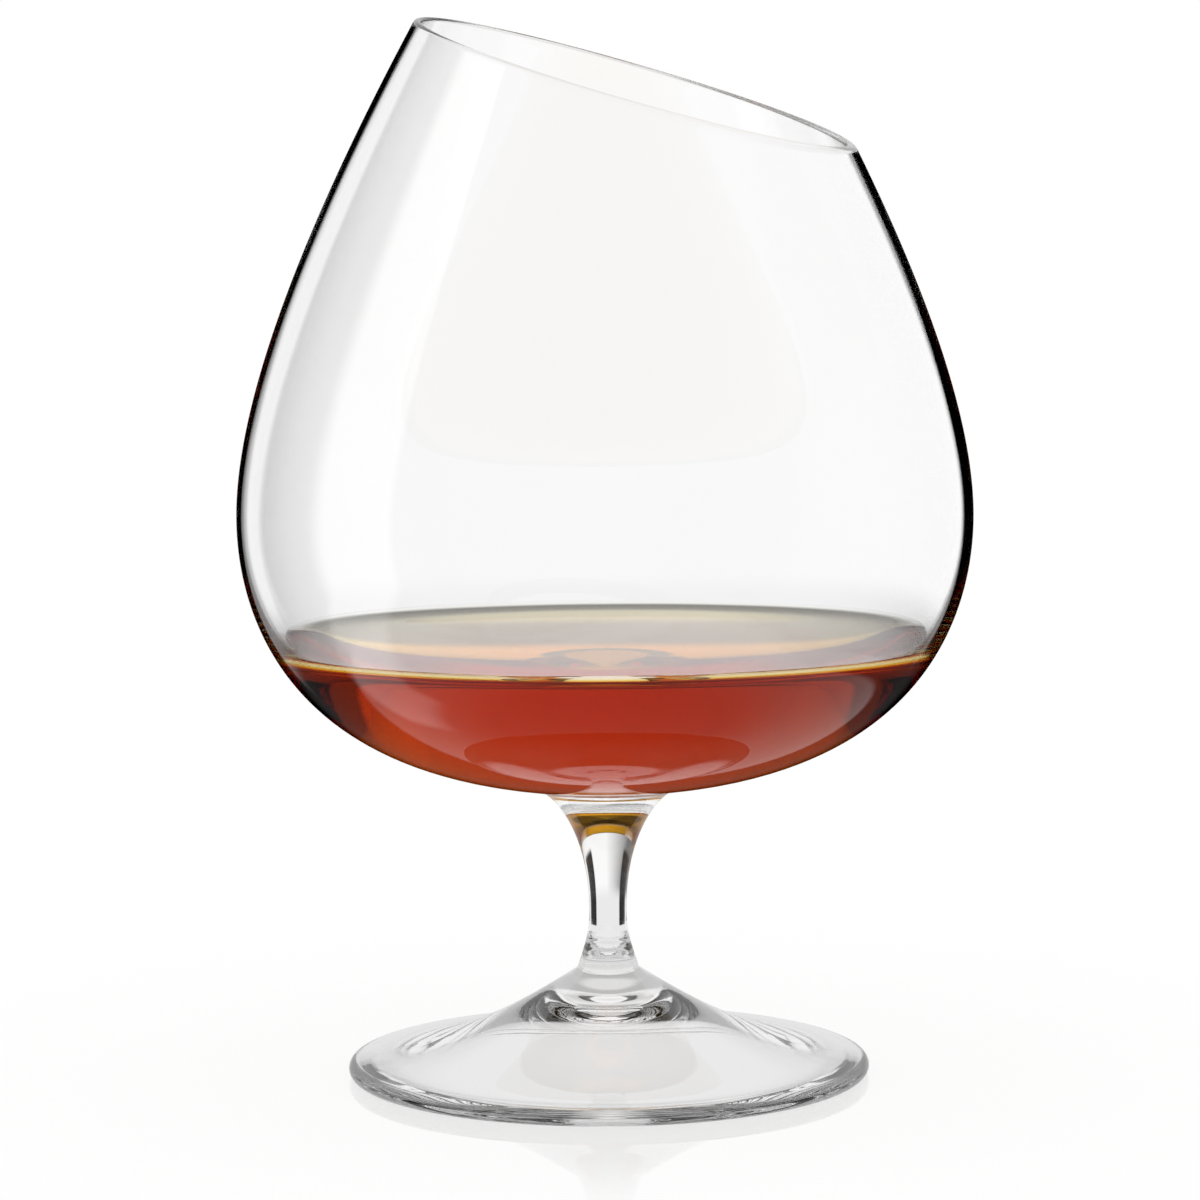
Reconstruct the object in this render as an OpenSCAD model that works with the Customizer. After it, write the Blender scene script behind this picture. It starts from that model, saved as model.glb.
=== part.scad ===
// Brandy snifter: a blown bowl with a slanted mouth, a drawn stem and a spread foot,
// with a measure of brandy in the bowl.
// Millimetres. +Z runs up the axis of the glass, the origin is on the table under the
// middle of the foot, and -Y is towards the viewer.

/* [Bowl] */
// Outside diameter at the belly, the widest part
bowl_d = 85; // [78:0.5:95]
// Height of the belly above the table
belly_h = 65.3; // [60:0.1:72]
// Wall at the belly
wall_t = 1.2; // [0.8:0.1:2]
// Wall at the mouth, measured level
rim_t = 0.95; // [0.7:0.05:1.5]
// Glass on the axis, between the brandy and the stem
floor_t = 1.8; // [1.2:0.1:4]

/* [Mouth] */
// Height of the slanted mouth on the axis
mouth_h = 116.4; // [108:0.1:124]
// Slant of the mouth, in degrees
mouth_tilt = 17.5; // [0:0.5:25]
// Turn of the low side from +X towards the viewer, in degrees
mouth_turn = 22; // [-180:1:180]
// Height of blown glass above the mouth on the axis, which is cut away
cutoff_h = 13.6; // [11:0.1:20]
// Outside diameter of the blown glass at the top of that piece
cutoff_d = 34; // [28:0.5:42]

/* [Stem] */
// Diameter at the waist, the thinnest part
stem_d = 4.4; // [3.4:0.1:6.4]
// Diameter where the stem spreads under the bowl
stem_top_d = 19; // [14:0.5:26]
// Height of the joint between stem and bowl
stem_top_h = 33.9; // [30:0.1:40]
// Height of the middle of the waist
waist_h = 19.1; // [17:0.1:23]
// Length of the even part of the waist
waist_l = 1; // [0.4:0.1:3]
// Diameter where the stem stands on the foot
stem_base_d = 7.2; // [6.6:0.1:10]

/* [Foot] */
// Diameter of the foot
foot_d = 60.8; // [56:0.2:72]
// Height of the joint between foot and stem
foot_h = 12.4; // [9:0.1:15]
// Thickness of the round edge
foot_edge_t = 2; // [1.4:0.1:3]
// Width of the flat ring that the glass rests on
foot_ring_w = 2; // [1:0.2:6]
// Height of the hollow under the foot
foot_hollow_h = 7.4; // [4:0.1:9]
// Diameter of the low boss in the middle of the hollow
foot_boss_d = 10; // [6:0.5:16]
// Drop of that boss below the top of the hollow
foot_boss_h = 0.5; // [0.2:0.1:1.5]

/* [Brandy] */
// Level of the brandy above the table
brandy_h = 49.9; // [42:0.1:60]
// Rise of the brandy's edge where it wets the wall
meniscus_h = 1.7; // [0.5:0.1:2.5]
// Distance from the wall in which that rise falls to about a third
meniscus_reach = 1.8; // [1:0.1:3]
// Room between the brandy and the wall, in which it swirls
brandy_gap = 0.3; // [0.1:0.05:0.5]

/* [Hidden] */
$fn = 96;

// Straight steps along each curve, round each edge and up the brandy's edge
curve_steps = 32;
edge_steps = 12;
meniscus_steps = 14;
// Halvings in the search for a height on a curve
search_steps = 40;
// Reaches from the wall over which the brandy's edge is followed
fade_share = 4;

// Both handles of each curve, as shares of the way from its start to its end: out, then up
shoulder_shares = [[0, 0.273], [0.557, 0.697]];
shoulder_inner_shares = [[0, 0.273], [0.546, 0.697]];
base_shares = [[0, 0.27], [0.099, 0.898]];
base_inner_shares = [[0, 0.5], [0.24, 1]];
flare_shares = [[0.507, 0.028], [1, 0.44]];
stem_base_shares = [[0, 0.39], [0.52, 0.64]];
foot_top_shares = [[0.321, 0.526], [0.605, 0.902]];
foot_hollow_shares = [[0.4, 0.08], [0.72, 1]];
foot_boss_shares = [[0.4, 0], [0.6, 1]];

// Radii and heights that follow from the sizes above
bowl_r = bowl_d / 2;
bowl_inner_r = bowl_r - wall_t;
blank_h = mouth_h + cutoff_h;
blank_r = cutoff_d / 2;
floor_h = stem_top_h + floor_t;
stem_r = stem_d / 2;
stem_top_r = stem_top_d / 2;
stem_base_r = stem_base_d / 2;
waist_top_h = waist_h + waist_l / 2;
waist_foot_h = waist_h - waist_l / 2;
foot_edge_r = foot_edge_t / 2;
foot_edge_at = foot_d / 2 - foot_edge_r;
foot_ring_r = foot_edge_at - foot_ring_w;
foot_boss_r = foot_boss_d / 2;

// A smooth curve from one point to another, with its handles given as shares of the way
function handle(a, b, share) = [for (k = [0, 1]) a[k] + share[k] * (b[k] - a[k])];
function curve(a, b, shares) = [a, handle(a, b, shares[0]), handle(a, b, shares[1]), b];

// A point of a curve, its direction, and its normal on the right-hand side of the way along it
function at(c, t) =
    (1 - t) ^ 3 * c[0] + 3 * (1 - t) ^ 2 * t * c[1] + 3 * (1 - t) * t ^ 2 * c[2] + t ^ 3 * c[3];
function heading(c, t) =
    (1 - t) ^ 2 * (c[1] - c[0]) + 2 * (1 - t) * t * (c[2] - c[1]) + t ^ 2 * (c[3] - c[2]);
function right_side(c, t) = let(h = heading(c, t)) [h[1], -h[0]] / norm(h);

// Points along a curve, moved sideways by gap, and the same points from end to start
function along(c, from = 0, gap = 0) =
    [for (i = [0 : curve_steps])
        let(t = from + (1 - from) * i / curve_steps)
        at(c, t) + gap * right_side(c, t)];
function reversed(points) = [for (i = [len(points) - 1 : -1 : 0]) points[i]];
function after_first(points) = [for (i = [1 : len(points) - 1]) points[i]];

// How far along a falling curve a height is met
function share_at(c, h, low = 0, high = 1, steps = search_steps) =
    let(mid = (low + high) / 2)
    steps == 0 ? mid
    : at(c, mid)[1] > h ? share_at(c, h, mid, high, steps - 1)
    : share_at(c, h, low, mid, steps - 1);

// The bowl's four curves, each from the belly
shoulder = curve([bowl_r, belly_h], [blank_r, blank_h], shoulder_shares);
shoulder_inner = curve([bowl_inner_r, belly_h], [blank_r - rim_t, blank_h], shoulder_inner_shares);
base = curve([bowl_r, belly_h], [stem_top_r, stem_top_h], base_shares);
base_inner = curve([bowl_inner_r, belly_h], [0, floor_h], base_inner_shares);

// The stem's two flares, the foot's top, the hollow under it and the boss in the hollow
flare = curve([stem_top_r, stem_top_h], [stem_r, waist_top_h], flare_shares);
stem_base = curve([stem_r, waist_foot_h], [stem_base_r, foot_h], stem_base_shares);
foot_top = curve([stem_base_r, foot_h], [foot_edge_at, foot_edge_t], foot_top_shares);
foot_hollow = curve([foot_ring_r, 0], [foot_boss_r, foot_hollow_h], foot_hollow_shares);
foot_boss = curve([foot_boss_r, foot_hollow_h], [0, foot_hollow_h - foot_boss_h], foot_boss_shares);

// Everything above the slanted mouth
module above_mouth() {
    translate([0, 0, mouth_h])
        rotate([0, mouth_tilt, -mouth_turn])
            translate([-bowl_d, -bowl_d, 0])
                cube([2 * bowl_d, 2 * bowl_d, blank_h]);
}

// Blown bowl: a thin shell, thicker at its floor, with a flat seat for the stem under it
module bowl() {
    outline = concat(
        reversed(along(shoulder)),
        after_first(along(base)),
        [[0, stem_top_h]],
        reversed(along(base_inner)),
        after_first(along(shoulder_inner))
    );
    color("aliceblue", 0.35)
        difference() {
            rotate_extrude() polygon(outline);
            above_mouth();
        }
}

// Drawn stem: it spreads under the bowl, narrows to a waist and stands on the foot
module stem() {
    outline = concat(
        [[0, stem_top_h]],
        along(flare),
        along(stem_base),
        [[0, foot_h]]
    );
    color("lightcyan", 0.45)
        rotate_extrude() polygon(outline);
}

// Spread foot: a low cone with a round edge, resting on a flat ring round a hollow with a boss
module foot() {
    edge = [for (i = [1 : edge_steps])
        let(a = 90 - 180 * i / edge_steps)
        [foot_edge_at, foot_edge_r] + foot_edge_r * [cos(a), sin(a)]];
    outline = concat(
        [[0, foot_h]],
        along(foot_top),
        edge,
        along(foot_hollow),
        after_first(along(foot_boss))
    );
    color("gainsboro", 0.5)
        rotate_extrude() polygon(outline);
}

// Brandy: it fills the bowl to its level, and its edge climbs a little where it wets the wall
module brandy() {
    wall = along(base_inner, share_at(base_inner, brandy_h + meniscus_h), brandy_gap);
    edge = wall[0];
    surface = [for (i = [meniscus_steps : -1 : 1])
        let(d = meniscus_reach * fade_share * i / meniscus_steps)
        [edge[0] - d, brandy_h + (edge[1] - brandy_h) * exp(-d / meniscus_reach)]];
    color("saddlebrown", 0.85)
        rotate_extrude() polygon(concat(wall, [[0, brandy_h]], surface));
}

bowl();
stem();
foot();
brandy();
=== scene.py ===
# %% [markdown]
# # A brandy snifter
# The object is a blown glass with a wide bowl, a slanted mouth, a short drawn stem and a
# spread foot, and a measure of brandy lies in the bowl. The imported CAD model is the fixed
# frame: its origin is on the table under the middle of the foot, +Z runs up the axis of the
# glass, and the viewer stands on the -Y side. Blender works in metres in that frame, and the
# sizes of the glass are written in millimetres, as in the CAD source.

# %% Load the frame
import math

import bpy
import numpy as np
from mathutils import Matrix


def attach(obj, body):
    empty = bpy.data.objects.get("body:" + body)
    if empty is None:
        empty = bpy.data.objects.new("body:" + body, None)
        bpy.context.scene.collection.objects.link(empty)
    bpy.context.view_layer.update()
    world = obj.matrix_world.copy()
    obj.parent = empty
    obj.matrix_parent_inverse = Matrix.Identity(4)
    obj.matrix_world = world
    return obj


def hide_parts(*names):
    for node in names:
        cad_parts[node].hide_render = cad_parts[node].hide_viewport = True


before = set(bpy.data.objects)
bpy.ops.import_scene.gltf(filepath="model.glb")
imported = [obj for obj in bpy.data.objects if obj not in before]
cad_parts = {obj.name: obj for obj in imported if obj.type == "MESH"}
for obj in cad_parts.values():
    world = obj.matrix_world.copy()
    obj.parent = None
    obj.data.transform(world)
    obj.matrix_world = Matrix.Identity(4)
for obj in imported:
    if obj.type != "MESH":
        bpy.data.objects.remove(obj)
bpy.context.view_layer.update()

scene = bpy.context.scene
MM = 0.001

# %% [markdown]
# ## The camera
# The photograph was taken with a long lens from a little below the height of the mouth. The
# camera was fitted to the outline of the glass: half a metre away, tipped down by five and a
# half degrees, and rolled by less than half a degree. A roll is easiest to give as a matrix,
# because the camera's own right, up and backward directions are the matrix's columns.

# %% Camera
FRAME_PX = 1200
FOCAL_PX = 4205.4
SENSOR_MM = 36.0
CAMERA_AT = (0.0, -0.48528, 0.10210)
PITCH, ROLL = 0.0958, 0.0075
CONTENT_RIGHT_PX = 5.57

ahead = np.array([0.0, math.cos(PITCH), -math.sin(PITCH)])
level_right = np.array([1.0, 0.0, 0.0])
level_up = np.array([0.0, math.sin(PITCH), math.cos(PITCH)])
rolled_right = math.cos(ROLL) * level_right - math.sin(ROLL) * level_up
rolled_up = math.sin(ROLL) * level_right + math.cos(ROLL) * level_up

lens = bpy.data.cameras.new("viewer")
lens.sensor_width = SENSOR_MM
lens.lens = SENSOR_MM * FOCAL_PX / FRAME_PX
lens.shift_x = -CONTENT_RIGHT_PX / FRAME_PX
viewer = bpy.data.objects.new("viewer", lens)
viewer.matrix_world = Matrix([
    [rolled_right[i], rolled_up[i], -ahead[i], CAMERA_AT[i]] for i in range(3)
] + [[0, 0, 0, 1]])
scene.collection.objects.link(viewer)
scene.camera = viewer
print(f"camera: lens {lens.lens:.1f} mm, {-CAMERA_AT[1]:.3f} m from the axis")

# %% [markdown]
# ## The curves of the glass
# A glassblower turns the piece all the time, so every section through the axis is the same
# smooth curve. The CAD source draws those curves as cubic curves, and the same ones are
# repeated here, in millimetres as (radius, height). Each handle is given as shares of the way
# from the curve's start to its end, so a curve keeps its character when its ends move.

# %% Curves
def curve(start, end, shares):
    start, end = np.array(start, float), np.array(end, float)
    handles = [start + np.array(share) * (end - start) for share in shares]
    return np.array([start, *handles, end])


def on_curve(points, t):
    t = np.asarray(t, float)[..., None]
    return (
        (1 - t) ** 3 * points[0]
        + 3 * (1 - t) ** 2 * t * points[1]
        + 3 * (1 - t) * t**2 * points[2]
        + t**3 * points[3]
    )


def heading(points, t):
    t = np.asarray(t, float)[..., None]
    way = (
        (1 - t) ** 2 * (points[1] - points[0])
        + 2 * (1 - t) * t * (points[2] - points[1])
        + t**2 * (points[3] - points[2])
    )
    return way / np.linalg.norm(way, axis=-1, keepdims=True)


def steps(count, start=0.0, end=1.0):
    return np.linspace(start, end, count + 1)


BELLY_H, BELLY_R, WALL = 65.3, 42.5, 1.2
BLANK_H, BLANK_R, RIM_WALL = 130.0, 17.0, 0.95
SEAT_H, SEAT_R, FLOOR_H = 33.9, 9.5, 35.7
WAIST_R, WAIST_TOP, WAIST_FOOT = 2.2, 19.6, 18.6
STEM_FOOT_R, FOOT_H = 3.6, 12.4
FOOT_EDGE_AT, FOOT_EDGE_R, FOOT_RING_R, HOLLOW_H = 29.4, 1.0, 27.4, 7.4
BOSS_R, BOSS_H = 5.0, 0.5

shoulder = curve((BELLY_R, BELLY_H), (BLANK_R, BLANK_H), [[0, 0.273], [0.557, 0.697]])
shoulder_inner = curve(
    (BELLY_R - WALL, BELLY_H), (BLANK_R - RIM_WALL, BLANK_H), [[0, 0.273], [0.546, 0.697]]
)
base = curve((BELLY_R, BELLY_H), (SEAT_R, SEAT_H), [[0, 0.27], [0.099, 0.898]])
base_inner = curve((BELLY_R - WALL, BELLY_H), (0, FLOOR_H), [[0, 0.5], [0.24, 1]])
flare = curve((SEAT_R, SEAT_H), (WAIST_R, WAIST_TOP), [[0.507, 0.028], [1, 0.44]])
stem_base = curve((WAIST_R, WAIST_FOOT), (STEM_FOOT_R, FOOT_H), [[0, 0.39], [0.52, 0.64]])
foot_top = curve(
    (STEM_FOOT_R, FOOT_H), (FOOT_EDGE_AT, 2 * FOOT_EDGE_R), [[0.321, 0.526], [0.605, 0.902]]
)
hollow = curve((FOOT_RING_R, 0), (BOSS_R, HOLLOW_H), [[0.4, 0.08], [0.72, 1]])
boss = curve((BOSS_R, HOLLOW_H), (0, HOLLOW_H - BOSS_H), [[0.4, 0], [0.6, 1]])
print("curves: bowl 4, stem 2, foot 3")

# %% [markdown]
# ## Turning a section into a mesh
# Blender's Screw modifier turns a section too, but the bowl's mouth is slanted, so each
# meridian of the bowl ends at its own height. A small lathe of our own takes rings, each with
# one radius and height or with one for every meridian, and joins neighbours with bands of
# faces. Glass shows every facet, so there are many meridians and all bands are shaded smooth,
# apart from the rings named as corners. Each band knows its material, and a map is laid out
# along the turn and along the section.

# %% Lathe
MERIDIANS = 240
turn = np.arange(MERIDIANS) * 2 * math.pi / MERIDIANS


def lathe(name, rings, finishes, finish_of_band, corners=()):
    """A closed turned piece. rings go along the section with the outside on the left."""
    places, ring_of, first = [], [], []
    for j, (radius, height) in enumerate(rings):
        first.append(len(places))
        radius = np.broadcast_to(np.asarray(radius, float), MERIDIANS)
        height = np.broadcast_to(np.asarray(height, float), MERIDIANS)
        count = 1 if radius.max() == 0 else MERIDIANS
        for k in range(count):
            x, y = radius[k] * math.cos(turn[k]), radius[k] * math.sin(turn[k])
            places.append((x, y, height[k]))
            ring_of.append(j)
    places = np.array(places) * MM
    size = np.diff(first + [len(places)])
    reach = [float(np.mean(places[f:f + n, 2])) for f, n in zip(first, size)]
    wide = [float(np.hypot(*places[f, :2])) for f in first]
    length = np.concatenate([[0], np.cumsum(np.hypot(np.diff(wide), np.diff(reach)))])
    length /= length[-1]

    faces, slots, layout = [], [], []
    for j in range(len(rings) - 1):
        for k in range(MERIDIANS):
            after = (k + 1) % MERIDIANS
            u, v = k / MERIDIANS, (k + 1) / MERIDIANS
            if size[j] == 1:
                face = (first[j], first[j + 1] + k, first[j + 1] + after)
                where = ((u, length[j]), (u, length[j + 1]), (v, length[j + 1]))
            elif size[j + 1] == 1:
                face = (first[j] + k, first[j + 1], first[j] + after)
                where = ((u, length[j]), (u, length[j + 1]), (v, length[j]))
            else:
                face = (first[j] + k, first[j + 1] + k, first[j + 1] + after, first[j] + after)
                where = ((u, length[j]), (u, length[j + 1]), (v, length[j + 1]), (v, length[j]))
            faces.append(face)
            slots.append(finish_of_band[j])
            layout.extend(where)

    mesh = bpy.data.meshes.new(name)
    mesh.from_pydata(places.tolist(), [], faces)
    for finish in finishes:
        mesh.materials.append(finish)
    mesh.polygons.foreach_set("material_index", slots)
    mesh.polygons.foreach_set("use_smooth", [True] * len(faces))
    mesh.uv_layers.new(name="OFBake").data.foreach_set("uv", np.array(layout).ravel())
    ends = np.zeros(len(mesh.edges) * 2, int)
    mesh.edges.foreach_get("vertices", ends)
    ends = np.array(ring_of)[ends.reshape(-1, 2)]
    sharp = (ends[:, 0] == ends[:, 1]) & np.isin(ends[:, 0], list(corners))
    mark = mesh.attributes.new("sharp_edge", "BOOLEAN", "EDGE")
    mark.data.foreach_set("value", sharp)
    mesh.update()
    piece = bpy.data.objects.new(name, mesh)
    scene.collection.objects.link(piece)
    print(f"{name}: {len(places)} points, {len(faces)} faces")
    return piece


# %% [markdown]
# ## Shader maths in Python
# A shader is a chain of nodes, but a formula is easier to read. One small class wraps a node's
# output: adding, subtracting and multiplying wires makes the Math nodes. Every other node
# comes from one method that takes its type, its settings and its inputs.

# %% Wires and finishes
class Wire:
    """An output of a node, with arithmetic."""

    def __init__(self, finish, socket):
        self.finish, self.socket = finish, socket

    def sum(self, operation, first, second=0.0):
        return self.finish.node(
            "ShaderNodeMath", {"operation": operation}, {0: first, 1: second}
        )

    def __add__(self, other):
        return self.sum("ADD", self, other)

    def __sub__(self, other):
        return self.sum("SUBTRACT", self, other)

    def __mul__(self, other):
        return self.sum("MULTIPLY", self, other)

    def __radd__(self, other):
        return self.sum("ADD", other, self)

    def __rsub__(self, other):
        return self.sum("SUBTRACT", other, self)

    def __rmul__(self, other):
        return self.sum("MULTIPLY", other, self)

    def most(self, other):
        return self.sum("MAXIMUM", self, other)

    def least(self, other):
        return self.sum("MINIMUM", self, other)


class Finish:
    """A material's or the world's node tree, built by adding nodes."""

    def __init__(self, owner):
        owner.use_nodes = True
        self.owner, self.tree = owner, owner.node_tree
        self.tree.nodes.clear()

    def node(self, kind, settings=None, inputs=None, output=0):
        made = self.tree.nodes.new(kind)
        for name, value in (settings or {}).items():
            setattr(made, name, value)
        for name, value in (inputs or {}).items():
            if isinstance(value, Wire):
                self.tree.links.new(value.socket, made.inputs[name])
            else:
                made.inputs[name].default_value = value
        return Wire(self, made.outputs[output]) if made.outputs else None

    def ramp(self, wire, low, high, start=0.0, end=1.0, smooth=True):
        """start below low, end above high, and an even or eased change between."""
        return self.node(
            "ShaderNodeMapRange",
            {"interpolation_type": "SMOOTHSTEP" if smooth else "LINEAR", "clamp": True},
            {"Value": wire, "From Min": low, "From Max": high, "To Min": start, "To Max": end},
        )


def material(name):
    return Finish(bpy.data.materials.new(name))


print("shader helpers ready")

# %% [markdown]
# ## Clear glass, and boundaries that are met only once
# Light bends where the index of refraction changes: by 1.5 from air into glass, and by only
# 1.5 / 1.36 from brandy into glass. If the wall and the brandy were two closed bodies with air
# between them, the brandy would look shrunk inside the bowl. So each boundary is drawn once,
# with the ratio of its two sides: the dry wall has 1.5, the wetted wall has 1.10, the free
# surface of the brandy has 1.36, and the faces where two pieces of glass were joined hot, or
# where the brandy lies on the wall, have 1 and bend nothing. Blown glass isn't quite even, so a
# faint wave in the normals makes the reflections swim a little, and the bowl has a trace of haze.
# The melted lip has none.

# %% Glass finishes
GLASS_N, BRANDY_N = 1.5, 1.36
HAZE_LOW, HAZE_HIGH = 0.35, 0.75


def glass(name, ratio, wave=None, haze=None):
    """Clear glass. wave gives the height of its unevenness in millimetres and the noise's scale,
    and haze gives the roughness in its low and high places."""
    finish = material(name)
    values = {
        "Base Color": (1, 1, 1, 1), "IOR": ratio, "Transmission Weight": 1.0, "Roughness": 0.0,
    }
    if wave:
        place = finish.node("ShaderNodeTexCoord", output="Object")
        cords = finish.node(
            "ShaderNodeTexNoise", {}, {"Vector": place, "Scale": wave[1], "Detail": 2.0}
        )
        values["Normal"] = finish.node(
            "ShaderNodeBump", {}, {"Strength": 1.0, "Distance": wave[0] * MM, "Height": cords}
        )
        if haze:
            values["Roughness"] = finish.ramp(cords, HAZE_LOW, HAZE_HIGH, *haze)
    surface = finish.node("ShaderNodeBsdfPrincipled", {}, values)
    finish.node("ShaderNodeOutputMaterial", {}, {"Surface": surface})
    return finish.owner


bowl_glass = glass("bowl_glass", GLASS_N, wave=(0.02, 40.0), haze=(0.012, 0.02))
rim_glass = glass("rim_glass", GLASS_N)
wet_glass = glass("wetted_bowl_glass", GLASS_N / BRANDY_N, wave=(0.02, 40.0))
stem_glass = glass("stem_glass", GLASS_N, wave=(0.01, 200.0))
foot_glass = glass("foot_glass", GLASS_N, wave=(0.02, 90.0))
no_boundary = glass("joined_hot", 1.0)
finishes = (bowl_glass, rim_glass, wet_glass, stem_glass, foot_glass, no_boundary)
print("glass:", [finish.name for finish in finishes])

# %% [markdown]
# ## The bowl
# The blown shell is thin: 1.2 mm at the belly, a little less at the mouth and thicker at the
# floor. It was cut off on a slant and its edge was melted round in the flame. Each meridian
# runs up the inside to the cut, over the round edge and down the outside. The inside below the
# brandy's edge is the wetted wall, and the flat seat under the bowl is joined to the stem. How
# high the brandy climbs comes first: its edge meets the wall at the contact angle, and a few
# rounds of trying find the place where it does.

# %% Bowl
MOUTH_H, MOUTH_TILT, MOUTH_TURN = 116.4, math.radians(17.5), math.radians(22)
RIM_DROP, RIM_BULGE = 0.42, 0.62
SEAM = 0.01
BRANDY_H = 49.9
CAPILLARY, CONTACT_ANGLE = 1.79, math.radians(18)
INNER_ROWS, OUTER_ROWS, FLOOR_ROWS, DRY_ROWS, RIM_ROWS = 72, 72, 48, 24, 24
SEAT_INSET, SEAT_RINGS = 0.1, (6.0, 3.0, 0.0)
HALVINGS, CONTACT_ROUNDS, FIRST_GUESS = 50, 20, math.radians(60)


def share_at_height(points, height):
    """How far along a falling curve a height is met."""
    low, high = 0.0, 1.0
    for _ in range(HALVINGS):
        middle = (low + high) / 2
        if on_curve(points, middle)[1] > height:
            low = middle
        else:
            high = middle
    return low


def share_at_mouth(points):
    """How far along a rising curve the slanted cut is met, for every meridian."""
    low, high = np.zeros(MERIDIANS), np.ones(MERIDIANS)
    for _ in range(HALVINGS):
        middle = (low + high) / 2
        spot = on_curve(points, middle)
        cut = MOUTH_H - RIM_DROP - math.tan(MOUTH_TILT) * spot[:, 0] * np.cos(turn + MOUTH_TURN)
        low = np.where(spot[:, 1] < cut, middle, low)
        high = np.where(spot[:, 1] < cut, high, middle)
    return (low + high) / 2


def as_rings(points):
    return [(p[..., 0], p[..., 1]) for p in points]


steepest = FIRST_GUESS
for _ in range(CONTACT_ROUNDS):
    contact = share_at_height(base_inner, BRANDY_H + 2 * CAPILLARY * math.sin(steepest / 2))
    along_wall = heading(base_inner, contact)
    steepest = math.atan2(-along_wall[1], -along_wall[0]) - CONTACT_ANGLE
climbs = 2 * CAPILLARY * math.sin(steepest / 2)
print(f"brandy climbs {climbs:.2f} mm at {math.degrees(steepest):.0f} degrees")

# %% Bowl's rings
cut_inner, cut_outer = share_at_mouth(shoulder_inner), share_at_mouth(shoulder)
wet_wall = as_rings(on_curve(base_inner, steps(FLOOR_ROWS, 1.0, contact)))
dry_floor = as_rings(on_curve(base_inner, steps(DRY_ROWS, contact, 0.0)))[1:]
inside = as_rings([on_curve(shoulder_inner, cut_inner * s) for s in steps(INNER_ROWS)])[1:]
outside = as_rings([on_curve(shoulder, cut_outer * s) for s in steps(OUTER_ROWS, 1.0, 0.0)])
underside = as_rings(on_curve(base, steps(FLOOR_ROWS)))[1:]

inner_end, outer_end = on_curve(shoulder_inner, cut_inner), on_curve(shoulder, cut_outer)
bulge = RIM_BULGE * np.linalg.norm(outer_end - inner_end, axis=1, keepdims=True)
lip = np.array([
    inner_end,
    inner_end + bulge * heading(shoulder_inner, cut_inner),
    outer_end + bulge * heading(shoulder, cut_outer),
    outer_end,
])
rim = as_rings([on_curve(lip, s) for s in steps(RIM_ROWS)])[1:-1]

seat = [(r, SEAT_H + SEAM) for r in (SEAT_R - SEAT_INSET, *SEAT_RINGS)]
bowl_rings = wet_wall + dry_floor + inside + rim + outside + underside + seat
wet_bands, seat_bands = len(wet_wall) - 1, len(seat)
inside_bands, outside_bands = len(dry_floor) + len(inside), len(outside) + len(underside) - 1
DRY, WET, JOINED, RIM = range(4)
bowl = lathe(
    "bowl_shell", bowl_rings, [bowl_glass, wet_glass, no_boundary, rim_glass],
    [WET] * wet_bands + [DRY] * inside_bands + [RIM] * RIM_ROWS + [DRY] * outside_bands
    + [JOINED] * seat_bands,
    corners=[len(bowl_rings) - 1 - seat_bands],
)
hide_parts("bowl")
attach(bowl, "glass")

# %% [markdown]
# ## The stem
# The stem was drawn out of a gob of hot glass under the bowl and squeezed with a tool at its
# base, which left faint rings. They are part of the shape: each ring is a few thousandths
# of a millimetre high, and fades out up the stem. Three waves of different pitch, each with its
# height, pitch and start, keep the rings from looking regular.

# %% Stem
TOOL_RINGS = [(0.005, 1.31, 0.4), (0.0035, 0.83, 2.1), (0.0016, 0.47, 4.0)]
RINGS_END_H, RINGS_FADE, RINGS_START = 19.5, 3.0, 1.0
FLARE_ROWS, WAIST_ROWS, BASE_ROWS = 80, 10, 90
FOOT_SEAT_RINGS = (1.8, 0.0)
DRAWN, STEM_SEATS = range(2)


def with_tool_rings(points):
    height = points[:, 1]
    fade = np.clip((RINGS_END_H - height) / RINGS_FADE, 0, 1)
    fade = fade * np.clip((height - FOOT_H) / RINGS_START, 0, 1)
    wave = sum(h * np.sin(2 * math.pi * height / pitch + start) for h, pitch, start in TOOL_RINGS)
    return np.stack([points[:, 0] + fade * wave, height], axis=1)


waist = steps(WAIST_ROWS, WAIST_TOP, WAIST_FOOT)
stem_side = np.concatenate([
    on_curve(flare, steps(FLARE_ROWS)),
    with_tool_rings(np.concatenate([
        np.stack([np.full(WAIST_ROWS - 1, WAIST_R), waist[1:-1]], axis=1),
        on_curve(stem_base, steps(BASE_ROWS)),
    ])),
])
top_seat = [(r, SEAT_H - SEAM) for r in (*SEAT_RINGS[::-1], SEAT_R - SEAT_INSET)]
foot_seat = [(r, FOOT_H + SEAM) for r in (STEM_FOOT_R - SEAT_INSET, *FOOT_SEAT_RINGS)]
stem_rings = top_seat + as_rings(stem_side) + foot_seat
stem = lathe(
    "stem_rod", stem_rings, [stem_glass, no_boundary],
    [STEM_SEATS] * len(top_seat) + [DRAWN] * (len(stem_side) - 1) + [STEM_SEATS] * len(foot_seat),
    corners=[len(top_seat), len(top_seat) + len(stem_side) - 1],
)
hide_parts("stem")
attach(stem, "glass")

# %% [markdown]
# ## The foot
# The foot is a gob of glass spread by spinning it, with a round edge and a shallow hollow
# underneath, so that the glass stands on a ring. Spinning leaves rings only a few micrometres
# high, near the stem and round the edge, and they wander a little on their way round. Each has
# its share of the height, its pitch, its lobes round the foot, its sway and its start. They are
# part of the shape, because light that is mirrored inside the edge magnifies them.

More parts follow.
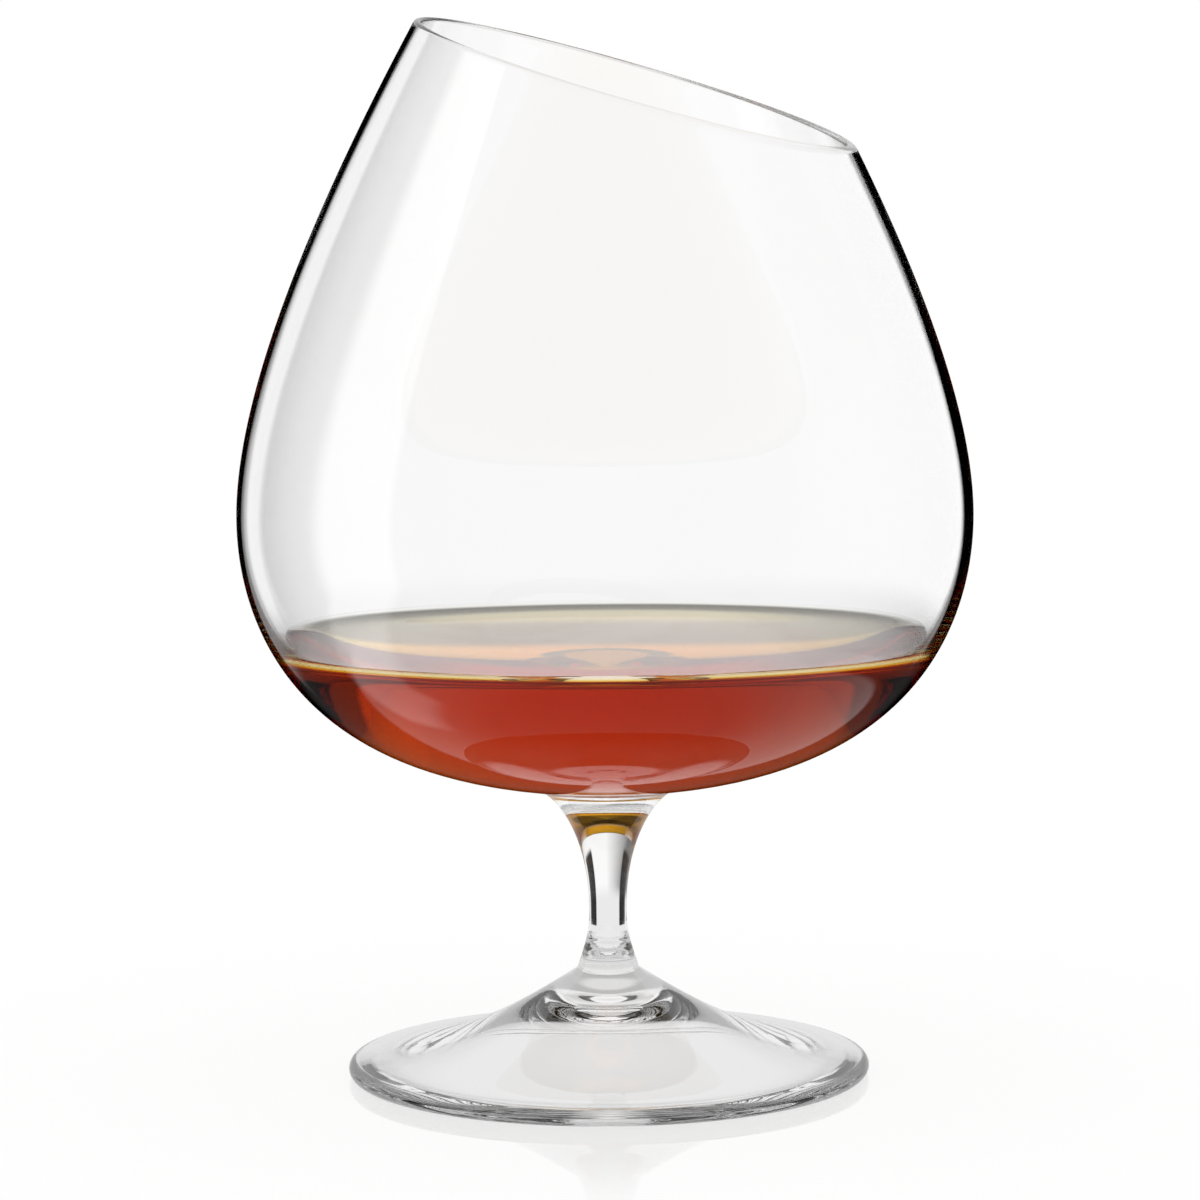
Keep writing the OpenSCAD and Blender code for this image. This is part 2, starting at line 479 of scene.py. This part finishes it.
# %% Foot
SPUN_RINGS = [(1.0, 1.3, 2, 1.6, 0.4), (0.7, 0.83, 3, 2.2, 1.3), (0.4, 0.47, 5, 1.2, 2.9)]
SPUN_AT_STEM, SPUN_AT_EDGE = 0.0013, 0.0022
STEM_RINGS_RISE, STEM_RINGS_END, STEM_RINGS_FADE = 1.0, 11.0, 6.0
EDGE_RINGS_R, EDGE_RINGS_RISE, EDGE_RINGS_H = 26.0, 2.0, 0.3
TOP_ROWS, EDGE_ROWS, RING_ROWS, HOLLOW_ROWS, BOSS_ROWS = 160, 60, 6, 80, 30
SPUN_EDGE_ROWS = 45


def with_spun_rings(points):
    """The section as rings, moved in and out a little by rings that wander round the foot."""
    step = np.diff(points, axis=0)
    reach = np.concatenate([[0], np.cumsum(np.hypot(step[:, 0], step[:, 1]))])
    way = np.gradient(points, axis=0)
    way /= np.linalg.norm(way, axis=1, keepdims=True)
    radius, height = points[:, 0], points[:, 1]
    top = np.arange(len(points)) <= TOP_ROWS + SPUN_EDGE_ROWS
    near_stem = np.clip(reach / STEM_RINGS_RISE, 0, 1)
    near_stem = near_stem * np.clip((STEM_RINGS_END - reach) / STEM_RINGS_FADE, 0, 1)
    near_edge = np.clip((radius - EDGE_RINGS_R) / EDGE_RINGS_RISE, 0, 1)
    near_edge = near_edge * np.clip(height / EDGE_RINGS_H, 0, 1)
    size = ((SPUN_AT_STEM * near_stem + SPUN_AT_EDGE * near_edge) * top)[:, None]
    along = 2 * math.pi * reach[:, None]
    wave = sum(
        share * np.sin(along / pitch + sway * np.sin(lobes * turn + start) + start)
        for share, pitch, lobes, sway, start in SPUN_RINGS
    )
    return [(radius[j] - way[j, 1] * (size * wave)[j], height[j] + way[j, 0] * (size * wave)[j])
            for j in range(len(points))]


edge_turn = np.radians(steps(EDGE_ROWS, 90, -90))[1:]
foot_edge = np.stack([
    FOOT_EDGE_AT + FOOT_EDGE_R * np.cos(edge_turn), FOOT_EDGE_R + FOOT_EDGE_R * np.sin(edge_turn)
], axis=1)
ring_r = steps(RING_ROWS, FOOT_EDGE_AT, FOOT_RING_R)[1:-1]
ring_face = np.stack([ring_r, np.zeros(len(ring_r))], axis=1)
foot_side = np.concatenate([
    on_curve(foot_top, steps(TOP_ROWS)), foot_edge, ring_face,
    on_curve(hollow, steps(HOLLOW_ROWS)), on_curve(boss, steps(BOSS_ROWS))[1:],
])
stem_seat = [(r, FOOT_H - SEAM) for r in (*FOOT_SEAT_RINGS[::-1], STEM_FOOT_R - SEAT_INSET)]
foot_rings = stem_seat + with_spun_rings(foot_side)
foot = lathe(
    "foot_disc", foot_rings, [foot_glass], [0] * (len(foot_rings) - 1), corners=[len(stem_seat)]
)
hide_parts("foot")
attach(foot, "glass")

# %% [markdown]
# ## The brandy
# The pour is a body that swallows light on its way through, blue most and red least, so that it
# is gold where it is thin and dark red where it is deep. Volume Absorption does just that. Its
# skin, the free surface, is a film of its own with the index of brandy, and it climbs the wall a
# little at its edge. Both follow the bowl's inner curve with only a hair's breadth between. Each
# absorption is per metre, for red, green and blue.

# %% Brandy
CLEARANCE, FILM = 0.03, 0.02
FLATTEST = math.radians(0.4)
SIDE_ROWS, CLIMB_STEPS, CLIMB_ROWS, LEVEL_ROWS = 64, 2000, 60, 8
ABSORPTION_PER_M = (13.0, 60.0, 260.0)


def brandy_body():
    finish = material("brandy_body")
    surface = finish.node("ShaderNodeBsdfPrincipled", {}, {
        "Base Color": (1, 1, 1, 1), "IOR": 1.0, "Transmission Weight": 1.0, "Roughness": 0.0,
    })
    density = max(ABSORPTION_PER_M)
    colour = [1 - a / density for a in ABSORPTION_PER_M] + [1.0]
    inside_it = finish.node(
        "ShaderNodeVolumeAbsorption", {}, {"Color": colour, "Density": density}
    )
    finish.node("ShaderNodeOutputMaterial", {}, {"Surface": surface, "Volume": inside_it})
    return finish.owner


brandy_tint = brandy_body()
brandy_skin = glass("brandy_surface", BRANDY_N)
print("brandy:", brandy_tint.name, brandy_skin.name)

# %% Brandy's rings
falling = steps(SIDE_ROWS, contact, 1.0)
way = heading(base_inner, falling)
side = on_curve(base_inner, falling) + CLEARANCE * np.stack([way[:, 1], -way[:, 0]], axis=1)
side[-1, 0] = 0.0
edge_r, edge_h = side[0]
slope = np.geomspace(FLATTEST, steepest, CLIMB_STEPS + 1)
climb = 2 * CAPILLARY * np.sin(slope / 2)
run = np.concatenate([[0], np.cumsum(np.diff(climb) / np.tan((slope[1:] + slope[:-1]) / 2))])
picked = np.unique(steps(CLIMB_ROWS, 0, CLIMB_STEPS).astype(int))
fall = (edge_h - BRANDY_H - climb[-1]) * np.exp((run - run[-1]) / CAPILLARY)
top = np.stack([edge_r - run[-1] + run, BRANDY_H + climb + fall], axis=1)[picked]
level = [(r, top[0, 1]) for r in steps(LEVEL_ROWS, 0, top[0, 0])[:-1]]
surface_rings = level + as_rings(top)

body_rings = surface_rings + as_rings(side)[1:]
pour = lathe(
    "brandy_pour", body_rings, [brandy_tint], [0] * (len(body_rings) - 1),
    corners=[len(surface_rings) - 1],
)
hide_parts("brandy")
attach(pour, "brandy")

# %% Brandy's free surface
FREE, UNDERSIDE = range(2)
film_under = [(r, h + FILM) for r, h in surface_rings[::-1]]
film_rings = [(r, h + 2 * FILM) for r, h in surface_rings] + film_under
skin = lathe(
    "brandy_surface", film_rings, [brandy_skin, no_boundary],
    [FREE] * (len(surface_rings) - 1) + [UNDERSIDE] * len(surface_rings),
    corners=[len(surface_rings) - 1, len(surface_rings)],
)
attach(skin, "brandy")

# %% [markdown]
# ## The studio
# The glass stands on a white table in front of a white background. Clear glass is seen only by
# what it mirrors or bends into view, so a photographer hangs white panels and dark strips out of
# the picture. Boards and lamps would do, but the bowl, the brandy and the foot each ask for
# their own. The world can tell their rays apart: Light Path counts how often a ray crossed a
# surface and how often it was mirrored. So each kind of ray meets its own panels here, and the
# camera itself meets plain white. This is a painted studio, fitted to the picture: no single
# room gives all of these lights at once. Each light is placed by azimuth and height in degrees,
# with azimuth 0 behind the glass and positive to the right.

# %% Rays and their ways
class Studio(Finish):
    """The world, with the direction of each ray and what it has gone through."""

    def __init__(self):
        super().__init__(bpy.data.worlds.new("studio"))
        direction = self.node("ShaderNodeTexCoord", output="Generated")
        across, along, up = [
            self.node("ShaderNodeSeparateXYZ", {}, {0: direction}, output=axis) for axis in "XYZ"
        ]
        self.azimuth = across.sum("ARCTAN2", across, along) * math.degrees(1)
        self.height = up.sum("ARCSINE", up) * math.degrees(1)
        self.aside = across.sum("ABSOLUTE", self.azimuth)

    def path(self, name):
        return self.node("ShaderNodeLightPath", output=name)

    def between(self, angle, low, high, soft):
        """1 from low to high and 0 elsewhere, with soft limits."""
        rise = self.ramp(angle, low - soft, low + soft)
        return rise * self.ramp(angle, high - soft, high + soft, 1, 0)

    def at_least(self, count, number):
        """1 where a ray's count has reached a number, else 0. Counts are whole, so it turns
        halfway between two of them."""
        return self.ramp(count, number - 0.6, number - 0.4)


def choose(which, yes, no):
    return which * (yes - no) + no


room = Studio()
azimuth, height, aside = room.azimuth, room.height, room.aside
ramp, between, at_least = room.ramp, room.between, room.at_least
crossed, mirrored = room.path("Transmission Depth"), room.path("Glossy Depth")
print("studio:", room.owner.name, "with", len(room.tree.nodes), "nodes")

# %% [markdown]
# ## What the bowl mirrors
# A tall window stands at the left, a card beside it, and a pale wall on the right. Straight
# behind the glass lies a dark strip, which the curved wall squeezes into its black edge. Below,
# the window comes back in the wall round the brandy, slanted, and a broad pale veil lies over
# the pour. Each light is a soft-edged patch, and where two overlap the brighter one is seen.

# %% Bowl's lights
black_edge = between(azimuth, -24, 31.5, 1.5) * between(height, -32, 15, 2)
window = ramp(azimuth, -113, -110) * ramp(azimuth, -84, -74, 1, 0) * 1.25
card = ramp(azimuth, -47, -43) * ramp(azimuth, -33, -27, 1, 0.6) * 0.85
wall = ramp(azimuth, 0, 20) * 0.95 - ramp(azimuth, 50, 160) * 0.35
front = ramp(azimuth, -112, -110, 1, 0) * 0.6
above = (window.most(card).most(wall).most(front) + 0.05) * (1 - black_edge)

slant = azimuth - ramp(height, -50, -20, 32, 0, smooth=False)
low_window = between(slant, -111, -79, 4) * ramp(height, -60, -54) * 0.8
veil_top = azimuth.sum("SINE", azimuth * math.radians(3)) * 6
veil = ramp(height - veil_top, -39.5, -37.5, 1, 0) * ramp(height, -70, -50, 0.25, 0.5)
below = veil + low_window + 0.06
mirrored_in_bowl = choose(ramp(height, -24, -15), above, below)

through_bowl = 1 - 0.13 * between(azimuth, -36, -8, 6)
off_brandy = 1 + 0.12 * between(height, 0, 14, 3) * ramp(aside, 10, 20, 1, 0)
print("with the bowl's lights:", len(room.tree.nodes), "nodes")

# %% [markdown]
# ## Through the brandy
# Most light comes straight from behind, and less from the sides, so that the pour darkens
# towards its ends. What was mirrored inside it sees a panel, and what leaves downwards sees the
# table. Light that the wall has guided a long way gives the gold line at the brandy's edge.

# %% Brandy's lights
panel = ramp(aside, 16, 36, 1, 0.3).most(ramp(height, 25, 31))
panel = 0.05 + 0.9 * panel * ramp(azimuth, -70, 0, 0.6, 1, smooth=False)
behind = ramp(azimuth, -45, 0, 0.35, 1, smooth=False) * ramp(azimuth, 20, 42, 1, 0.45)
level_light = choose(at_least(mirrored, 2), panel, behind) * ramp(aside, 105, 120, 1, 0.35)
table_light = 0.22 + 0.35 * ramp(height, -42, -37, 1, 0)
short_way = choose(ramp(height, -28, -21), level_light, table_light)
short_way = short_way * ramp(height, 44, 50, 1, 0.25)
guided = ramp(aside, 85, 95, 1, 0)
through_brandy = choose(at_least(mirrored, 5), guided, short_way)
print("with the brandy's lights:", len(room.tree.nodes), "nodes")

# %% [markdown]
# ## Stem and foot
# Two dark strips stand beside the stem and run down its sides. In the foot, light that was
# mirrored once sees a pale room with some dark spots, and light that was mirrored more often
# sees a dark one, which draws the strokes round the edge and in the ring under the stem.

# %% Lights of stem and foot
strips = between(aside, 27, 55, 1.5) * between(height, -19, 13, 2)
dim_left = ramp(azimuth, -33, 2, 0.15, 1, smooth=False)
through_stem = choose(ramp(height, -8, -2), dim_left, 0.84) * (1 - strips)

sky = ramp(height, 4, 10) * ramp(height, 22, 34, 1, 0.25)
spots = between(aside, 46, 72, 3) * between(height, -20, 6, 3) * 0.6
pale_room = 0.84 - sky * 0.34 - spots - ramp(aside, 60, 72) * 0.3
pale_room = pale_room * ramp(height, -49, -44, 0.12, 1)
dark = between(height, -10, 25, 4).most(between(aside, 25, 75, 4) * 0.85)
dark_room = 0.95 - 0.95 * dark
inside_foot = choose(at_least(mirrored, 2), dark_room, pale_room)
off_foot = 0.75 - 0.65 * between(aside, 62, 106, 4) * between(height, -14, 10, 3)
print("with the lights of stem and foot:", len(room.tree.nodes), "nodes")

# %% [markdown]
# ## Which ray meets which light
# A ray that crossed six surfaces or more has been through the brandy. The bowl has a trace of
# haze, and the stem and foot have none, so the last surface being perfectly smooth tells them
# apart. A ray that went through the table's clear film twice was mirrored by the table.

# %% Sorting the rays
TABLE_IMAGE = 0.5

turned, in_glass = mirrored.least(1.0), at_least(crossed, 1)
in_thin_glass = choose(turned, mirrored_in_bowl, through_bowl)
over_brandy = choose(turned, off_brandy, through_bowl)
bowl_last = choose(at_least(crossed, 3), over_brandy, in_thin_glass)
foot_last = choose(turned, choose(in_glass, inside_foot, off_foot), through_stem)
clear_last = choose(room.path("Is Singular Ray"), foot_last, bowl_last)
seen = choose(at_least(crossed, 6), through_brandy, clear_last)
on_table = choose(in_glass, TABLE_IMAGE, 1.0)
seen = choose(at_least(room.path("Transparent Depth"), 2), on_table, seen)
strength = choose(room.path("Is Glossy Ray"), seen, 1.0)
light = room.node("ShaderNodeBackground", {}, {"Color": (1, 1, 1, 1), "Strength": strength})
room.node("ShaderNodeOutputWorld", {}, {"Surface": light})
scene.world = room.owner
print("with all rays sorted:", len(room.tree.nodes), "nodes")

# %% [markdown]
# ## The table
# The table is a white board: it takes a soft shadow, and a mirror image shows close to the
# glass. It glows a little for the camera, which makes it as white as the background, and the
# glass looks past it into the studio. The clear film just above it lets every ray through, and
# only marks those that the board mirrored.

# %% Table
FLOOR_R, FLOOR_DROP = 0.22, 0.05
TABLE_PAINT, TABLE_GLOSS, TABLE_WHITE = 0.2, 0.3, 1.01
MIRROR_FULL_R, MIRROR_END_R = 0.035, 0.075
FLOOR_CORNER_STEP = 4


def table_top():
    """White board: lit, with a soft shadow, and a faint mirror image close to the glass."""
    finish = material("table")
    place = finish.node("ShaderNodeNewGeometry", output="Position")
    away = finish.node("ShaderNodeVectorMath", {"operation": "LENGTH"}, {0: place}, output="Value")
    gloss = finish.ramp(away, MIRROR_FULL_R, MIRROR_END_R, TABLE_GLOSS, 0)
    paint = finish.node(
        "ShaderNodeBsdfDiffuse", {}, {"Color": (TABLE_PAINT, TABLE_PAINT, TABLE_PAINT, 1)}
    )
    shine = finish.node("ShaderNodeBsdfGlossy", {}, {"Color": (1, 1, 1, 1), "Roughness": 0.0})
    camera = finish.node("ShaderNodeLightPath", output="Is Camera Ray")
    glow = finish.node("ShaderNodeEmission", {}, {
        "Color": (1, 1, 1, 1), "Strength": camera * (TABLE_WHITE - TABLE_PAINT),
    })
    both = finish.node("ShaderNodeAddShader", {}, {0: paint, 1: glow})
    both = finish.node("ShaderNodeMixShader", {}, {0: gloss, 1: both, 2: shine})
    finish.node("ShaderNodeOutputMaterial", {}, {"Surface": both})
    return finish.owner


def clear_film():
    finish = material("clear_film")
    finish.node("ShaderNodeOutputMaterial", {}, {
        "Surface": finish.node("ShaderNodeBsdfTransparent", {}, {"Color": (1, 1, 1, 1)}),
    })
    return finish.owner


def disc(name, drop, finish):
    around = turn[::FLOOR_CORNER_STEP]
    corner = [(FLOOR_R * math.cos(a), FLOOR_R * math.sin(a), -drop * MM) for a in around]
    mesh = bpy.data.meshes.new(name)
    mesh.from_pydata(corner, [], [tuple(range(len(corner)))])
    mesh.materials.append(finish)
    made = bpy.data.objects.new(name, mesh)
    scene.collection.objects.link(made)
    return made


table = disc("table", FLOOR_DROP, table_top())
table.visible_glossy = table.visible_transmission = False
disc("table_film", FLOOR_DROP / 2, clear_film())
print("table:", FLOOR_R, "m")

# %% [markdown]
# ## Colours and bounces
# The Standard view shows a colour as it is written. Light runs round inside a thin wall for a
# long time before it leaves, so rays get many bounces.

# %% Render settings
BOUNCES = 256
scene.view_settings.view_transform = "Standard"
scene.cycles.max_bounces = BOUNCES
scene.cycles.transmission_bounces = BOUNCES
scene.cycles.glossy_bounces = BOUNCES
print("bounces", BOUNCES)
